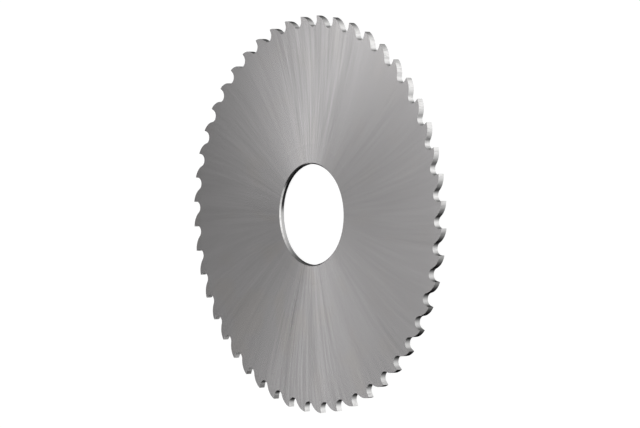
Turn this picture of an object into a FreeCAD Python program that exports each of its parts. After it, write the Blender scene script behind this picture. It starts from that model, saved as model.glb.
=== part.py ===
import FreeCAD
import Part
import math
import os

# A plain metal slitting saw for a milling arbor: one thin steel disc with
# coarse hooked teeth round the rim, sides ground hollow between the toothed
# rim and the clamping land, and a bore with a small chamfer on each side.
# The blade lies flat. The bore axis is Z, the underside of the rim is Z = 0,
# and the teeth point counter-clockwise when the blade is seen from above.

# Driving dimensions in millimetres and degrees.
TIP_DIAMETER = 63.0
BORE_DIAMETER = 16.0
RIM_THICKNESS = 1.0
LAND_THICKNESS = 0.9
LAND_DIAMETER = 25.0
BORE_CHAMFER = 0.2

# Teeth. The back of each tooth is one arc whose radius follows from the
# others, so that it runs into the gullet without a corner.
TOOTH_COUNT = 48
TOOTH_DEPTH = 1.75
GULLET_RADIUS = 1.0
RAKE_ANGLE = 8.0
CLEARANCE_ANGLE = 4.0


def turn(point, degrees):
    """Turn a point (x, y) about the bore axis."""
    a = math.radians(degrees)
    x = point[0] * math.cos(a) - point[1] * math.sin(a)
    y = point[0] * math.sin(a) + point[1] * math.cos(a)
    return (x, y)


def towards(start, end, distance):
    """The point at a distance from start on the way to end."""
    length = math.hypot(end[0] - start[0], end[1] - start[1])
    x = start[0] + (end[0] - start[0]) * distance / length
    y = start[1] + (end[1] - start[1]) * distance / length
    return (x, y)


def tooth_points():
    """Points of one pitch, for a tooth whose tip is on the +Y axis.

    The teeth point to -X here, so the gullet in front of the tip is on the
    -X side and the next tip is one pitch further round, counter-clockwise.
    """
    tip_radius = TIP_DIAMETER / 2.0
    pitch = 360.0 / TOOTH_COUNT
    rake = math.radians(RAKE_ANGLE)
    clearance = math.radians(CLEARANCE_ANGLE)
    tip = (0.0, tip_radius)

    # The gullet circle touches the rake face and sits on the root circle.
    centre_drop = TOOTH_DEPTH - GULLET_RADIUS
    face_length = (centre_drop - GULLET_RADIUS * math.sin(rake)) / math.cos(rake)
    face_end = (face_length * math.sin(rake), tip_radius - face_length * math.cos(rake))
    gullet = (face_end[0] - GULLET_RADIUS * math.cos(rake),
              face_end[1] - GULLET_RADIUS * math.sin(rake))
    bottom = towards(gullet, (0.0, 0.0), GULLET_RADIUS)

    # The back arc leaves the next tip at the clearance angle and touches the
    # gullet circle from outside. Worked out with the next tip on the +Y axis.
    near = turn(gullet, -pitch)
    ahead = near[0]
    rise = near[1] - tip_radius
    top = ahead ** 2 + rise ** 2 - GULLET_RADIUS ** 2
    under = 2.0 * (GULLET_RADIUS - ahead * math.sin(clearance) - rise * math.cos(clearance))
    back_radius = top / under
    back = (-back_radius * math.sin(clearance),
            tip_radius - back_radius * math.cos(clearance))
    join = towards(near, back, GULLET_RADIUS)
    chord_middle = ((join[0] + tip[0]) / 2.0, (join[1] + tip[1]) / 2.0)
    crown = towards(back, chord_middle, back_radius)
    return {
        "tip": tip,
        "face_end": face_end,
        "bottom": bottom,
        "join": turn(join, pitch),
        "crown": turn(crown, pitch),
        "next_tip": turn(tip, pitch),
    }


def vector(point, z):
    return FreeCAD.Vector(point[0], point[1], z)


def toothed_outline(z):
    """The closed outline of the blade at height z, as a face."""
    pitch = 360.0 / TOOTH_COUNT
    one = tooth_points()
    edges = []
    for number in range(TOOTH_COUNT):
        at = {name: vector(turn(one[name], number * pitch), z) for name in one}
        edges.append(Part.LineSegment(at["tip"], at["face_end"]).toShape())
        edges.append(Part.Arc(at["face_end"], at["bottom"], at["join"]).toShape())
        edges.append(Part.Arc(at["join"], at["crown"], at["next_tip"]).toShape())
    return Part.Face(Part.Wire(edges))


def blank():
    """The round blank with its bore, chamfers, lands and hollow sides.

    It stands one rim thickness outside the tips, and the teeth are cut from it.
    """
    bore_radius = BORE_DIAMETER / 2.0
    land_radius = LAND_DIAMETER / 2.0
    root_radius = TIP_DIAMETER / 2.0 - TOOTH_DEPTH
    outside = TIP_DIAMETER / 2.0 + RIM_THICKNESS
    hollow = (RIM_THICKNESS - LAND_THICKNESS) / 2.0
    land_top = RIM_THICKNESS - hollow
    section = [
        (bore_radius, hollow + BORE_CHAMFER),
        (bore_radius + BORE_CHAMFER, hollow),
        (land_radius, hollow),
        (root_radius, 0.0),
        (outside, 0.0),
        (outside, RIM_THICKNESS),
        (root_radius, RIM_THICKNESS),
        (land_radius, land_top),
        (bore_radius + BORE_CHAMFER, land_top),
        (bore_radius, land_top - BORE_CHAMFER),
    ]
    corners = [FreeCAD.Vector(radius, 0.0, height) for radius, height in section]
    face = Part.Face(Part.makePolygon(corners + corners[:1]))
    return face.revolve(FreeCAD.Vector(0, 0, 0), FreeCAD.Vector(0, 0, 1), 360.0)


def blade():
    """The blank cut to the toothed outline.

    The outline is raised from one thickness below the blank to one above it.
    """
    prism = toothed_outline(-RIM_THICKNESS).extrude(FreeCAD.Vector(0, 0, 3.0 * RIM_THICKNESS))
    return blank().common(prism).Solids[0]


os.makedirs("parts", exist_ok=True)
saw_blade = blade()
saw_blade.exportStep("parts/saw_blade.step")
box = saw_blade.BoundBox
print("saw_blade valid", saw_blade.isValid(), "faces", len(saw_blade.Faces))
print("size", round(box.XLength, 3), round(box.YLength, 3), round(box.ZLength, 3))
print("volume", round(saw_blade.Volume, 1))
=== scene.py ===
# %% [markdown]
# # A slitting saw, lying on a white table
#
# A slitting saw is a thin steel disc with hooked teeth round its rim. The
# engineering model of it is already packed, and this lesson dresses it: a
# finer blade with broken edges, a ground steel finish and studio light.
# Everything is in metres, in the same frame as the engineering model. The
# bore axis is Z, and the underside of the rim is at Z = 0.

# %% Load the frame
import math
from collections import namedtuple

import bmesh
import bpy
from mathutils import Matrix, Vector


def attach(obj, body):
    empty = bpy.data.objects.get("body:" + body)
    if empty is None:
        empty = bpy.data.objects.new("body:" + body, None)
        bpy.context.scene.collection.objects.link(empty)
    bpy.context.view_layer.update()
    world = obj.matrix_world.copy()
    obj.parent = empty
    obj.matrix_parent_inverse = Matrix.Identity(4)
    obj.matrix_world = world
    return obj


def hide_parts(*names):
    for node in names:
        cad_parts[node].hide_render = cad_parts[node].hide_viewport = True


MM = 0.001

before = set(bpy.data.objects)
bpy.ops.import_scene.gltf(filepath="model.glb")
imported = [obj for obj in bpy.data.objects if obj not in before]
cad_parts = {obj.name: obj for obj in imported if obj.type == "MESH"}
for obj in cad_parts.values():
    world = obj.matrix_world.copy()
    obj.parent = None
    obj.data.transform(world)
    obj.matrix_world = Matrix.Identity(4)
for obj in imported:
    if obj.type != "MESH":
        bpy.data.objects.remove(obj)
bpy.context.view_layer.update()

# %% [markdown]
# ## The sizes
#
# A toolmaker works in millimetres, so the sizes are written in them and
# turned into metres where a mesh is made. They are the ones that the
# engineering model has. The edge break is too small for that model: it is
# the fine bright line that light catches along every real edge.

# %% Sizes of the blade in millimetres
TIP_RADIUS = 31.5
BORE_RADIUS = 8.0
LAND_RADIUS = 12.5
RIM_THICKNESS = 1.0
HOLLOW = 0.05
BORE_CHAMFER = 0.2
TEETH = 48
TOOTH_DEPTH = 1.75
GULLET_RADIUS = 1.0
RAKE = math.radians(8.0)
CLEARANCE = math.radians(4.0)
EDGE_BREAK = 0.012
PITCH = math.tau / TEETH
ROOT_RADIUS = TIP_RADIUS - TOOTH_DEPTH
print("pitch at the tips", round(PITCH * TIP_RADIUS, 3), "mm, root radius", ROOT_RADIUS)

# %% [markdown]
# ## The outline of one tooth
#
# Going round from one tip to the next, the outline is the rake face, which
# leans back under the tip, then a round gullet, then the long curved back of
# the next tooth. The two arcs touch without a corner, so chips curl out
# instead of packing. Each stretch gets its own number of points, and every
# point belongs to one column of the mesh that follows.

# %% Points along one pitch of the outline
RAKE_STEPS = 5
GULLET_STEPS = 16
BACK_STEPS = 14


def turned(x, y, angle):
    c, s = math.cos(angle), math.sin(angle)
    return x * c - y * s, x * s + y * c


def arc(centre, radius, start, end, steps):
    """Points on an arc from start to end, the short way round, without the start."""
    first = math.atan2(start[1] - centre[1], start[0] - centre[0])
    last = math.atan2(end[1] - centre[1], end[0] - centre[0])
    sweep = (last - first + math.pi) % math.tau - math.pi
    turns = [first + sweep * k / steps for k in range(1, steps + 1)]
    return [(centre[0] + radius * math.cos(t), centre[1] + radius * math.sin(t)) for t in turns]


def tooth_outline():
    """One pitch of the outline, with the tip that starts it on +Y."""
    face = (TOOTH_DEPTH - GULLET_RADIUS - GULLET_RADIUS * math.sin(RAKE)) / math.cos(RAKE)
    face_end = (face * math.sin(RAKE), TIP_RADIUS - face * math.cos(RAKE))
    gullet = (face_end[0] - GULLET_RADIUS * math.cos(RAKE),
              face_end[1] - GULLET_RADIUS * math.sin(RAKE))
    near = turned(*gullet, -PITCH)
    rise = near[1] - TIP_RADIUS
    back_radius = (near[0] ** 2 + rise ** 2 - GULLET_RADIUS ** 2) / 2 / (
        GULLET_RADIUS - near[0] * math.sin(CLEARANCE) - rise * math.cos(CLEARANCE))
    back = (-back_radius * math.sin(CLEARANCE), TIP_RADIUS - back_radius * math.cos(CLEARANCE))
    share = GULLET_RADIUS / (GULLET_RADIUS + back_radius)
    join = (near[0] + (back[0] - near[0]) * share, near[1] + (back[1] - near[1]) * share)
    gullet_floor = tuple(v * (1 - GULLET_RADIUS / math.hypot(*gullet)) for v in gullet)
    drop = face_end[1] - TIP_RADIUS
    points = [(face_end[0] * k / RAKE_STEPS, TIP_RADIUS + drop * k / RAKE_STEPS)
              for k in range(RAKE_STEPS + 1)]
    half = GULLET_STEPS // 2
    points += arc(gullet, GULLET_RADIUS, face_end, gullet_floor, half)
    points += arc(gullet, GULLET_RADIUS, gullet_floor, turned(*join, PITCH), half)
    points += arc(turned(*back, PITCH), back_radius, turned(*join, PITCH),
                  turned(0.0, TIP_RADIUS, PITCH), BACK_STEPS)
    return points


outline = tooth_outline()
print("outline points per tooth", len(outline) - 1)

# %% [markdown]
# ## One sector of the blade
#
# The blade repeats forty-eight times round its axis, so only one sector is
# drawn. Its mesh is a grid: columns run from the bore out to the tooth
# outline, and rows go round the section, over the top, down the rim, back
# under and up the bore. The sides are ground hollow, so the height of each
# point follows from its radius. A grid like this has no poles and no long
# thin triangles, and its two ends meet when the sector is repeated.
#
# Inside the teeth the columns cross plain rings. Five of them have a set
# place there, in degrees from the tip, and the others stand evenly between.

# %% Grid of one sector
LAND_RING = 10.3
HOLLOW_RINGS = [16.5, 20.5, 24.5, 27.5, 29.2]
FACE_RINGS = [BORE_RADIUS + BORE_CHAMFER, LAND_RING, LAND_RADIUS, *HOLLOW_RINGS]
TOOTH_ROWS = [0.3, 0.6, 0.85]
FIRST_TURN = -2.3
COLUMN_TURNS = {
    0: FIRST_TURN,
    RAKE_STEPS: -0.9,
    RAKE_STEPS + GULLET_STEPS // 2: 1.68,
    RAKE_STEPS + GULLET_STEPS: 3.9,
    RAKE_STEPS + GULLET_STEPS + BACK_STEPS: FIRST_TURN + 360.0 / TEETH,
}
MITRE_LIMIT = 0.3


def column_angle(column):
    """Where a column stands on the plain rings, in radians from the tip."""
    marks = sorted(COLUMN_TURNS)
    for low, high in zip(marks, marks[1:]):
        if column <= high:
            part = (column - low) / (high - low)
            turn = COLUMN_TURNS[low] + part * (COLUMN_TURNS[high] - COLUMN_TURNS[low])
            return math.radians(turn)


def side_height(radius):
    """Height of the upper side at a radius, with the hollow grinding."""
    part = (radius - LAND_RADIUS) / (ROOT_RADIUS - LAND_RADIUS)
    return RIM_THICKNESS - HOLLOW * (1 - min(max(part, 0.0), 1.0))


def set_in(points, distance):
    """The outline moved into the metal, mitred at the tips."""
    moved = []
    for k, (x, y) in enumerate(points):
        before = points[k - 1] if k else turned(*points[-2], -PITCH)
        after = points[k + 1] if k < len(points) - 1 else turned(*points[1], PITCH)
        a = Vector((x - before[0], y - before[1])).normalized()
        b = Vector((after[0] - x, after[1] - y)).normalized()
        inward = Vector((-a.y - b.y, a.x + b.x)).normalized()
        reach = distance / max(MITRE_LIMIT, inward.dot(Vector((-a.y, a.x))))
        moved.append((x + inward.x * reach, y + inward.y * reach))
    return moved


def ring_point(radius, column):
    return turned(0.0, radius, column_angle(column))


inner_outline = set_in(outline, EDGE_BREAK)


def column_points(column):
    """One closed loop round the section, from the bore over the top and back."""
    top = [(*ring_point(BORE_RADIUS, column), side_height(0.0) - BORE_CHAMFER)]
    for radius in FACE_RINGS:
        top.append((*ring_point(radius, column), side_height(radius)))
    start, end = Vector(top[-1][:2]), Vector(inner_outline[column])
    for part in TOOTH_ROWS + [1.0]:
        spot = start.lerp(end, part)
        top.append((spot.x, spot.y, side_height(spot.length)))
    top.append((*outline[column], RIM_THICKNESS - EDGE_BREAK))
    bottom = [(x, y, RIM_THICKNESS - z) for x, y, z in reversed(top)]
    return [Vector(point) * MM for point in top + bottom]


def sector_mesh():
    bm = bmesh.new()
    columns = [[bm.verts.new(p) for p in column_points(k)] for k in range(len(outline))]
    rows = len(columns[0])
    for left, right in zip(columns, columns[1:]):
        for j in range(rows):
            up = (j + 1) % rows
            bm.faces.new((left[j], left[up], right[up], right[j]))
    bm.normal_update()
    highest = max(bm.faces, key=lambda f: f.calc_center_median().z)
    if highest.normal.z < 0:
        bmesh.ops.reverse_faces(bm, faces=bm.faces)
    mesh = bpy.data.meshes.new("tooth_sector")
    bm.to_mesh(mesh)
    bm.free()
    return mesh


sector = bpy.data.objects.new("tooth_sector", sector_mesh())
bpy.context.scene.collection.objects.link(sector)
print("sector faces", len(sector.data.polygons), "vertices", len(sector.data.vertices))

# %% [markdown]
# ## A small helper for node trees
#
# Node trees are sums written as boxes. The class below wraps one socket, so
# that a sum on sockets can be written as a sum, and every sign adds its Math
# node. Any other node comes from `node`, which sets the node's own settings
# first and its sockets after.

# %% Node trees as Python expressions
class Wire:
    """One output socket, with the operators that the trees use."""

    def __init__(self, tree, socket):
        self.tree, self.socket = tree, socket

    def math(self, operation, *others, clamp=False):
        return math_node(self.tree, operation, self, *others, clamp=clamp)

    def __add__(self, other):
        return self.math("ADD", other)

    def __sub__(self, other):
        return self.math("SUBTRACT", other)

    def __mul__(self, other):
        return self.math("MULTIPLY", other)

    def __truediv__(self, other):
        return self.math("DIVIDE", other)

    def __rsub__(self, other):
        return math_node(self.tree, "SUBTRACT", other, self)

    def __rtruediv__(self, other):
        return math_node(self.tree, "DIVIDE", other, self)

    __radd__ = __add__
    __rmul__ = __mul__

    def between(self, low, high):
        """0 below low, 1 above high and a soft step from one to the other."""
        settings = {"interpolation_type": "SMOOTHSTEP"}
        return node(self.tree, "ShaderNodeMapRange", settings, [self, low, high])["Result"]


def node(tree, kind, settings=(), inputs=()):
    """Add a node and return its outputs by name, each wrapped as a Wire."""
    made = tree.nodes.new(kind)
    for name, value in dict(settings).items():
        setattr(made, name, value)
    pairs = inputs.items() if isinstance(inputs, dict) else enumerate(inputs)
    for key, value in pairs:
        if isinstance(value, Wire):
            tree.links.new(value.socket, made.inputs[key])
        else:
            made.inputs[key].default_value = value
    return {out.name: Wire(tree, out) for out in made.outputs if out.enabled}


def math_node(tree, operation, *values, clamp=False):
    settings = {"operation": operation, "use_clamp": clamp}
    return node(tree, "ShaderNodeMath", settings, values)["Value"]


# The Mix node has sockets of the same name for each kind of value, so those
# for colours go by number.
MIX_SHARE, MIX_FIRST, MIX_SECOND, MIX_RESULT = 0, 6, 7, 2


def colour_mix(tree, share, first, second):
    """Mix two colours by a share from 0 to 1."""
    mixed = tree.nodes.new("ShaderNodeMix")
    mixed.data_type = "RGBA"
    for key, value in ((MIX_SHARE, share), (MIX_FIRST, first), (MIX_SECOND, second)):
        if isinstance(value, Wire):
            tree.links.new(value.socket, mixed.inputs[key])
        else:
            mixed.inputs[key].default_value = value
    return Wire(tree, mixed.outputs[MIX_RESULT])


print("node helpers ready")

# %% [markdown]
# ## Where a point of the blade lies
#
# The whole blade is bare steel, but its sides, flanks and bore were ground
# in different ways. Some finishes show only in one part of it, and so do the
# painted highlight in the lines, the painted shade in the gullets and the
# painted reflection in the bore. So the shader first works out where a point
# lies and which way it faces.
#
# A part of the blade is given by three angles in degrees. The first is its
# direction from the axis as in the picture, with 0 to the right (+X) and 90
# at the top (+Y). The finish or painted mark is whole as far as the second
# angle to either side of it, and gone beyond the third.

# %% A point of the blade as sockets
SIDE_FACING = (0.75, 0.95)
BEVEL_FACING = (0.3, 0.6)
RIM_START = (9.0, 12.0)


class Spot:
    """A point of the blade: its place in millimetres and its facing."""

    def __init__(self, tree):
        self.tree = tree
        place = node(tree, "ShaderNodeTexCoord")
        split = node(tree, "ShaderNodeSeparateXYZ", {}, [place["Object"]])
        normal = node(tree, "ShaderNodeSeparateXYZ", {}, [place["Normal"]])
        self.x, self.y, self.z = (split[name] / MM for name in "XYZ")
        self.radius = (self.x * self.x + self.y * self.y).math("SQRT")
        self.inward = (normal["X"] * self.x + normal["Y"] * self.y) / self.radius * -1.0
        self.facing = normal["Z"].math("ABSOLUTE")
        self.side = self.facing.between(*SIDE_FACING)
        self.rim = self.radius.between(*RIM_START)

    def part(self, towards, whole, gone):
        """1 in one part of the blade and 0 away from it."""
        aim = math.radians(towards)
        nearness = (self.x * math.cos(aim) + self.y * math.sin(aim)) / self.radius
        return nearness.between(math.cos(math.radians(gone)), math.cos(math.radians(whole)))


print("the finishes of the bore end", RIM_START[0], "mm from the axis")

# %% [markdown]
# ## The colour of the sides
#
# A cup wheel grinds the sides of a saw while the blade turns, and leaves
# fine lines that run out from the bore in slightly curved arcs. Noise that
# is stretched along such arcs gives the single lines, in three widths. They
# come and go along the radius. They are real grain, but they are made to show
# most in the wedges at the top and the bottom, where the lamps' highlights
# fall, and a little less on the calm part at the right, so in part they are
# painted highlight. They are in the colour, because in the roughness or in a
# bump they turn into grain.
#
# The left and lower side is slightly duller. A fourth and very broad noise
# gives faint warm stains, most of them there too.

# %% Grinding lines and stains
STEEL = (0.712, 0.697, 0.7, 1.0)
STEEL_DULL = (0.352, 0.344, 0.346, 1.0)
STEEL_STAINED = (0.724, 0.68, 0.629, 1.0)
# Painted highlight: the grinding lines are made stronger in these two wedges, where the lamps'
# highlights fall.
TOP_HIGHLIGHT_WEDGE = (90.0, 11.5, 28.4)
BOTTOM_HIGHLIGHT_WEDGE = (270.0, 11.5, 28.4)
CALM_PART = (26.6, 26.6, 74.4)
DULL_PART = (235.0, 84.3, 113.6)
WARM_PART = (233.1, 53.1, 101.5)
PLAIN_DULL = 0.525
EXTRA_DULL = 0.08
PLAIN_STAIN = 0.15
EXTRA_STAIN = 0.3
STAIN_START = (0.0, 0.2)
PATTERN_TURN = math.radians(-22.0)
STRAIGHT_RADIUS = 16.4
LINE_BEND = 0.000167

# Noise cells to a radian and to a millimetre of radius, and its place in the noise.
Pattern = namedtuple("Pattern", "cells fade seed")
# How strong the lines are everywhere, and what each part of the side adds to that.
Strength = namedtuple("Strength", "plain top bottom calm")
LINES = {
    "fine": (Pattern(60.0, 0.09, 3.0), Strength(0.17, 0.55, -0.9, -0.05)),
    "bold": (Pattern(26.0, 0.07, 11.0), Strength(0.18, -0.16, -0.4, -0.05)),
    "broad": (Pattern(10.0, 0.05, 23.0), Strength(0.13, 0.2, -0.65, 0.0)),
}
STAINS = Pattern(4.0, 0.14, 31.0)


def noise_value(tree, place):
    """Noise from about 0.3 to 0.7, moved to sit round zero."""
    noise = node(tree, "ShaderNodeTexNoise", {}, {
        "Vector": place, "Scale": 1.0, "Detail": 1.0, "Roughness": 0.5})
    value = noise["Fac"] if "Fac" in noise else noise["Factor"]
    return value - 0.5


def stretched_noise(spot, pattern):
    """Noise stretched along arcs from the bore to the rim."""
    bend = spot.radius - STRAIGHT_RADIUS
    swing = PATTERN_TURN - bend * bend * LINE_BEND
    c, s = swing.math("COSINE"), swing.math("SINE")
    across = (spot.x * c - spot.y * s) / spot.radius * pattern.cells
    along = (spot.x * s + spot.y * c) / spot.radius * pattern.cells
    outwards = spot.radius * pattern.fade + pattern.seed
    place = node(spot.tree, "ShaderNodeCombineXYZ", {}, [across, along, outwards])["Vector"]
    return noise_value(spot.tree, place)


def grinding_lines(spot):
    """All the lines together, above zero where the steel is duller."""
    top, bottom = spot.part(*TOP_HIGHLIGHT_WEDGE), spot.part(*BOTTOM_HIGHLIGHT_WEDGE)
    calm = spot.part(*CALM_PART)
    total = 0.0
    for pattern, strength in LINES.values():
        # Partly painted highlight: the lines show more in the highlight wedges and less on the
        # calm part.
        shown = (top * strength.top + bottom * strength.bottom
                 + calm * strength.calm + strength.plain)
        total = total + stretched_noise(spot, pattern) * shown
    return total


def side_colour(spot, lines):
    stain = stretched_noise(spot, STAINS).between(*STAIN_START)
    stained = stain * (spot.part(*WARM_PART) * EXTRA_STAIN + PLAIN_STAIN)
    tone = colour_mix(spot.tree, stained, STEEL, STEEL_STAINED)
    dull = spot.part(*DULL_PART) * EXTRA_DULL + PLAIN_DULL
    return colour_mix(spot.tree, lines.math("ADD", dull, clamp=True), tone, STEEL_DULL)


print("widths of line", list(LINES))

# %% [markdown]
# ## The colour of the teeth and the bore
#
# The teeth and the bore are cut by another wheel, smoother, with short marks
# across the blade's thickness. The flanks aren't all alike: at the lower
# left they are matt, and two rake faces at the bottom are darker. To the right
# of those the gullets get painted shade, darker towards their floor, where
# the real gullets fall in shade. The bore is darker than the teeth, and has a
# painted dark reflection, a crescent at its upper left, on the wall and the
# bevel. Each of these is one more colour, mixed in over the ones before it.

# %% Flanks, gullets and bore
FLANK_STEEL = (0.75, 0.745, 0.74, 1.0)
FLANK_DULL = (0.62, 0.615, 0.61, 1.0)
MATT_STEEL = (0.95, 0.943, 0.937, 1.0)
# Painted shade: the lower gullets darken towards their floor, where the real gullets fall in
# shade.
GULLET_PAINTED_SHADE = (0.5, 0.497, 0.494, 1.0)
# Two rake faces at the bottom are made darker.
DARKER_RAKE_STEEL = (0.36, 0.357, 0.354, 1.0)
BORE_STEEL = (0.45, 0.447, 0.445, 1.0)
# Painted dark reflection: a near-black crescent on the bore's wall and bevel.
BORE_PAINTED_REFLECTION = (0.05, 0.05, 0.05, 1.0)
MATT_FLANKS = (210.0, 25.8, 45.6)
DARKER_RAKES = (248.0, 8.1, 14.1)
LOWER_HALF = (270.0, 66.4, 95.7)
NOT_LEFT = (0.0, 104.5, 126.9)
WALL_PAINTED_CRESCENT = (157.0, 14.1, 25.8)
BEVEL_PAINTED_CRESCENT = (128.0, 14.1, 29.5)
RAKE_INWARD = (0.03, 0.12)
GULLET_DEPTH = (0.4, 1.4)
MARK_START = (-0.04, 0.2)
MARKS_ROUND = 2.6
MARKS_ACROSS = 0.7


def cutting_marks(spot):
    """Short marks across the thickness of the blade."""
    place = node(spot.tree, "ShaderNodeCombineXYZ", {}, [
        spot.x * MARKS_ROUND, spot.y * MARKS_ROUND, spot.z * MARKS_ACROSS])["Vector"]
    return noise_value(spot.tree, place)


def cut_colour(spot, marks, matt, darker_rakes):
    tree = spot.tree
    depth = (TIP_RADIUS - spot.radius).between(*GULLET_DEPTH)
    # Painted shade in the gullets of the lower half, darkest deep under the tips.
    painted_gullet_shade = depth * spot.part(*LOWER_HALF) * spot.part(*NOT_LEFT) * spot.rim
    sloping = spot.facing.between(*BEVEL_FACING)
    wall = (1.0 - spot.rim) * (1.0 - sloping)
    bevel = (1.0 - spot.rim) * sloping
    # Painted dark reflection on the bore's wall and bevel, at its upper left.
    painted_crescent = wall * spot.part(*WALL_PAINTED_CRESCENT) + bevel * spot.part(*BEVEL_PAINTED_CRESCENT)
    colour = colour_mix(tree, marks.between(*MARK_START), FLANK_STEEL, FLANK_DULL)
    for share, steel in ((matt, MATT_STEEL), (painted_gullet_shade, GULLET_PAINTED_SHADE), (darker_rakes, DARKER_RAKE_STEEL),
                         (wall, BORE_STEEL), (painted_crescent, BORE_PAINTED_REFLECTION)):
        colour = colour_mix(tree, share, colour, steel)
    return colour


print("gullets are darkest from", GULLET_DEPTH[1], "mm under the tips")

# %% [markdown]
# ## Ground steel
#
# Lines that all point outwards spread the light sideways, and that is what
# draws the bright wedges on a round ground blade. The shader has a setting
# for it: with no UV map its tangent runs round the Z axis, so anisotropy
# alone gives the wedges. A wedge also turns a little from the bore to the
# rim, as the lines lean. The lean of one shader is the same all over, so two
# of them are mixed by the radius, one with the lean at the bore and one with
# the lean at the rim. The teeth and the bore get an even mix.

# %% Put the steel together
SIDE_ROUGHNESS = 0.27
FLANK_ROUGHNESS = 0.1
BORE_ROUGHNESS = 0.08
LINE_ROUGHNESS = 0.02
MARK_ROUGHNESS = 0.15
MATT_ROUGHNESS = 0.4
MARK_HEIGHT = 0.000004
ANISOTROPY = 0.76
BORE_LEAN = math.radians(-9.0)
RIM_LEAN = math.radians(9.0)
LEAN_START = 9.5
LEAN_END = 28.8


def ground_steel():
    material = bpy.data.materials.new("ground_steel")
    material.use_nodes = True
    tree = material.node_tree
    tree.nodes.clear()
    spot = Spot(tree)
    lines, marks = grinding_lines(spot), cutting_marks(spot)
    matt = spot.part(*MATT_FLANKS) * spot.rim
    # Two rake faces at the bottom are made darker and rougher.
    darker_rakes = spot.inward.between(*RAKE_INWARD) * spot.part(*DARKER_RAKES) * spot.rim
    colour = colour_mix(tree, spot.side, cut_colour(spot, marks, matt, darker_rakes),
                        side_colour(spot, lines))

    side_rough = lines * LINE_ROUGHNESS + SIDE_ROUGHNESS
    flank_rough = (marks * MARK_ROUGHNESS + (matt + darker_rakes).math("MINIMUM", 1.0) * MATT_ROUGHNESS
                   + FLANK_ROUGHNESS)
    cut_rough = (flank_rough - BORE_ROUGHNESS) * spot.rim + BORE_ROUGHNESS
    rough = cut_rough + (side_rough - cut_rough) * spot.side
    height = marks * (1.0 - spot.side) * MARK_HEIGHT
    bump = node(tree, "ShaderNodeBump", {}, {"Height": height, "Distance": 1.0})["Normal"]

    steels = [node(tree, "ShaderNodeBsdfPrincipled", {}, {
        "Base Color": colour, "Metallic": 1.0, "Roughness": rough, "Normal": bump,
        "Anisotropic": ANISOTROPY, "Anisotropic Rotation": lean / math.tau % 1.0})["BSDF"]
        for lean in (BORE_LEAN, RIM_LEAN)]
    outwards = (spot.radius - LEAN_START).math("DIVIDE", LEAN_END - LEAN_START, clamp=True)
    leaning = (outwards - 0.5) * spot.side + 0.5
    shown = node(tree, "ShaderNodeMixShader", {}, [leaning, *steels])["Shader"]
    node(tree, "ShaderNodeOutputMaterial", {}, [shown])
    return material


steel_finish = ground_steel()
print("nodes in ground steel", len(steel_finish.node_tree.nodes))

# %% [markdown]
# ## Repeating the sector with Geometry Nodes
#
# The tree takes the sector and the number of teeth. It sets that many points
# on the axis, puts the sector on each one turned by one more pitch, makes
# the copies real and welds their edges, so the blade closes into one skin.
# Edges that turn by more than half a radian are kept crisp, and the round
# gullets stay smooth.

# %% Build the tree
WELD_DISTANCE = 0.000001
CRISP_ANGLE = 0.5
TREE_INPUTS = {
    "Sector": ("NodeSocketGeometry", None),
    "Teeth": ("NodeSocketInt", TEETH),
    "Weld distance": ("NodeSocketFloat", WELD_DISTANCE),
    "Crisp edge angle": ("NodeSocketFloat", CRISP_ANGLE),
    "Finish": ("NodeSocketMaterial", None),
}


def repeat_tree():
    tree = bpy.data.node_groups.new("repeat_round_axis", "GeometryNodeTree")
    ids = {}
    for name, (kind, value) in TREE_INPUTS.items():
        socket = tree.interface.new_socket(name, in_out="INPUT", socket_type=kind)
        if value is not None:
            socket.default_value = value
        ids[name] = socket.identifier
    tree.interface.new_socket("Blade", in_out="OUTPUT", socket_type="NodeSocketGeometry")

    given = node(tree, "NodeGroupInput")
    points = node(tree, "GeometryNodeMeshLine", {}, {
        "Count": given["Teeth"], "Offset": (0.0, 0.0, 0.0)})["Mesh"]
    turn = node(tree, "GeometryNodeInputIndex")["Index"] * (math.tau / given["Teeth"])
    about_z = node(tree, "ShaderNodeCombineXYZ", {}, {"Z": turn})["Vector"]
    copies = node(tree, "GeometryNodeInstanceOnPoints", {}, {
        "Points": points, "Instance": given["Sector"], "Rotation": about_z})["Instances"]
    real = node(tree, "GeometryNodeRealizeInstances", {}, {"Geometry": copies})["Geometry"]
    welded = node(tree, "GeometryNodeMergeByDistance", {}, {
        "Geometry": real, "Distance": given["Weld distance"]})["Geometry"]
    smooth = node(tree, "GeometryNodeSetShadeSmooth", {"domain": "FACE"}, {
        "Geometry": welded})["Geometry"]
    bend = node(tree, "GeometryNodeInputMeshEdgeAngle")["Unsigned Angle"]
    sharp = node(tree, "FunctionNodeCompare", {
        "data_type": "FLOAT", "operation": "GREATER_THAN"}, [bend, given["Crisp edge angle"]])
    crisp = node(tree, "GeometryNodeSetShadeSmooth", {"domain": "EDGE"}, {
        "Geometry": smooth, "Selection": sharp["Result"], "Shade Smooth": False})["Geometry"]
    finished = node(tree, "GeometryNodeSetMaterial", {}, {
        "Geometry": crisp, "Material": given["Finish"]})["Geometry"]
    node(tree, "NodeGroupOutput", {}, {"Blade": finished})
    return tree, ids


blade_tree, blade_ids = repeat_tree()
print("inputs", list(blade_ids))

# %% [markdown]
# ## The blade as one mesh
#
# The modifier runs the tree on the sector, and its result becomes a plain
# mesh, because the frame wants one. A skin without an open edge has a
# volume, and the volume is above zero when the faces look outwards.

# %% Make the blade
repeat = sector.modifiers.new("repeat", "NODES")
repeat.node_group = blade_tree
repeat[blade_ids["Teeth"]] = TEETH
repeat[blade_ids["Finish"]] = steel_finish
sector.update_tag()
bpy.context.view_layer.update()
whole = sector.evaluated_get(bpy.context.evaluated_depsgraph_get())
blade_mesh = bpy.data.meshes.new_from_object(whole)
blade_mesh.name = "saw_blade_ground"
bpy.data.objects.remove(sector)
blade = bpy.data.objects.new("saw_blade_ground", blade_mesh)
bpy.context.scene.collection.objects.link(blade)

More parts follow.
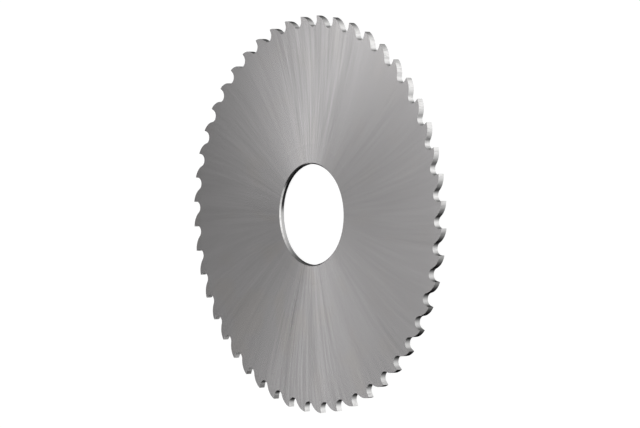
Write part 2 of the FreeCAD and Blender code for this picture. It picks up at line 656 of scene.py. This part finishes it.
skin = bmesh.new()
skin.from_mesh(blade_mesh)
open_edges = sum(not edge.is_manifold for edge in skin.edges)
volume = skin.calc_volume(signed=True) / MM ** 3
skin.free()
triangles = sum(len(face.vertices) - 2 for face in blade_mesh.polygons)
print("blade faces", len(blade_mesh.polygons), "triangles", triangles, "open edges", open_edges)
print("volume in cubic mm", round(volume, 1))
print("materials", [m.name for m in blade_mesh.materials if m])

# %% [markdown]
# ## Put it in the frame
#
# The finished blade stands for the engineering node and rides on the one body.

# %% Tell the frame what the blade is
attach(blade, "root")
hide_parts("saw_blade")
print("blade rides on root")

# %% [markdown]
# ## The table
#
# The saw was photographed on pure white. The table is a big pale sheet: to
# the camera it adds a little of its own light, so that it reads as white
# while it keeps the blade's shadow. Reflections look through it, because a
# flank one millimetre high would otherwise mirror only its own shadow. It
# lies a hundredth of a millimetre under the blade, so that no two surfaces
# share a plane, and from below it is clear.

# %% White table
TABLE_HALF = 1.5
TABLE_TOP = -0.00001
TABLE_COLOUR = (0.2, 0.2, 0.2, 1.0)
TABLE_GLOW = 0.885


def table_white():
    material = bpy.data.materials.new("table_white")
    material.use_nodes = True
    tree = material.node_tree
    tree.nodes.clear()
    path = node(tree, "ShaderNodeLightPath")
    cloth = node(tree, "ShaderNodeBsdfDiffuse", {}, {"Color": TABLE_COLOUR})["BSDF"]
    glow = node(tree, "ShaderNodeEmission", {}, {
        "Strength": path["Is Camera Ray"] * TABLE_GLOW})["Emission"]
    both = node(tree, "ShaderNodeAddShader", {}, [cloth, glow])["Shader"]
    clear = node(tree, "ShaderNodeBsdfTransparent")["BSDF"]
    from_below = node(tree, "ShaderNodeNewGeometry")["Backfacing"]
    through = path["Is Glossy Ray"].math("MAXIMUM", from_below)
    shown = node(tree, "ShaderNodeMixShader", {}, [through, both, clear])["Shader"]
    node(tree, "ShaderNodeOutputMaterial", {}, [shown])
    return material


def white_table():
    mesh = bpy.data.meshes.new("table")
    corners = [(x * TABLE_HALF, y * TABLE_HALF, TABLE_TOP)
               for x, y in ((-1, -1), (1, -1), (1, 1), (-1, 1))]
    mesh.from_pydata(corners, [], [(0, 1, 2, 3)])
    mesh.materials.append(table_white())
    table = bpy.data.objects.new("table", mesh)
    bpy.context.scene.collection.objects.link(table)
    return table


table = white_table()

# %% [markdown]
# ## Studio light
#
# A ground blade shows its lamps smeared into wedges, so the light is the
# other half of the finish. The room is dim with broad soft lamps in it, each
# with a direction, a width and a strength. Those of the first four were
# worked out from how bright the sides are round the blade, from the bore to
# the rim. The front wall lights the bevel of the bore, and the back fill
# lights the blade for a camera that looks from +Y. Below the horizon,
# reflections meet a white sheet, which falls off to the dark room behind the
# saw. It turns the polished flanks white on one side and black on the other.
# The camera sees only white behind the blade.

# %% Light in the room
AMBIENT = 0.07
LAMPS = {
    "overhead softbox": ((-0.367, -0.031, 0.93), 0.0177, 5.31),
    "far card": ((-0.714, 0.015, 0.7), 0.006, 1.42),
    "side softbox": ((-0.499, -0.539, 0.679), 0.0423, 1.52),
    "front wall": ((0.814, 0.291, 0.502), 0.3131, 1.47),
    "back fill": ((0.1, -0.75, 0.65), 0.12, 0.5),
}
SHEET_AIM = (0.675, 0.39, -0.62)
SHEET_LEVEL = 1.15
SHEET_FALL = 2.3
SHEET_REACH = 0.22
DARK_ROOM = 0.003
HORIZON = 0.01


def towards(tree, look, aim):
    """1 where the look points the same way as the aim, and less away from it."""
    settings = {"operation": "DOT_PRODUCT"}
    return node(tree, "ShaderNodeVectorMath", settings, [look, aim])["Value"]


def studio():
    world = bpy.data.worlds.new("studio")
    bpy.context.scene.world = world
    world.use_nodes = True
    tree = world.node_tree
    tree.nodes.clear()
    look = node(tree, "ShaderNodeTexCoord")["Generated"]
    room = AMBIENT
    for direction, width, strength in LAMPS.values():
        nearness = towards(tree, look, tuple(Vector(direction).normalized()))
        room = room + ((nearness - 1.0) / width).math("EXPONENT") * strength
    share = (towards(tree, look, SHEET_AIM) + SHEET_REACH) / (1.0 + SHEET_REACH)
    sheet = share.math("MAXIMUM", 0.0).math("POWER", SHEET_FALL) * SHEET_LEVEL + DARK_ROOM
    above = node(tree, "ShaderNodeSeparateXYZ", {}, [look])["Z"].between(-HORIZON, HORIZON)
    level = sheet + (room - sheet) * above
    seen = node(tree, "ShaderNodeLightPath")["Is Camera Ray"]
    strength = seen + (1.0 - seen) * level
    glow = node(tree, "ShaderNodeBackground", {}, {
        "Color": (1.0, 1.0, 1.0, 1.0), "Strength": strength})["Background"]
    node(tree, "ShaderNodeOutputWorld", {}, [glow])


studio()
bpy.context.scene.view_settings.view_transform = "Standard"
print("lamps", list(LAMPS))

# %% [markdown]
# ## Camera
#
# The camera stands where the photographer's did, worked out from the edges
# of the teeth and the bore. The photograph shows the blade on edge, and here
# it lies flat, so the camera looks down on it and is rolled to keep the same
# picture.

# %% Camera
LENS = 149.97
SENSOR_WIDTH = 36.0
VIEW_AZIMUTH = math.radians(4.54)
VIEW_ELEVATION = math.radians(38.59)
VIEW_ROLL = math.radians(-91.16)
VIEW_DISTANCE = 422.8
AIM_OFFSET = (1.472, 0.068)


def photo_camera():
    data = bpy.data.cameras.new("camera")
    data.lens = LENS
    data.sensor_width = SENSOR_WIDTH
    camera = bpy.data.objects.new("camera", data)
    level = Vector((math.cos(VIEW_AZIMUTH), math.sin(VIEW_AZIMUTH), 0.0))
    back = level * math.cos(VIEW_ELEVATION) + Vector((0.0, 0.0, math.sin(VIEW_ELEVATION)))
    level_right = Vector((-level.y, level.x, 0.0))
    level_up = back.cross(level_right)
    right = level_right * math.cos(VIEW_ROLL) + level_up * math.sin(VIEW_ROLL)
    up = back.cross(right)
    aim = right * AIM_OFFSET[0] + up * AIM_OFFSET[1] + Vector((0.0, 0.0, RIM_THICKNESS))
    turn = Matrix((right, up, back)).transposed().to_4x4()
    camera.matrix_world = Matrix.Translation((aim + back * VIEW_DISTANCE) * MM) @ turn
    bpy.context.scene.collection.objects.link(camera)
    bpy.context.scene.camera = camera
    return camera


print("camera stands at", [round(v, 4) for v in photo_camera().matrix_world.translation], "m")
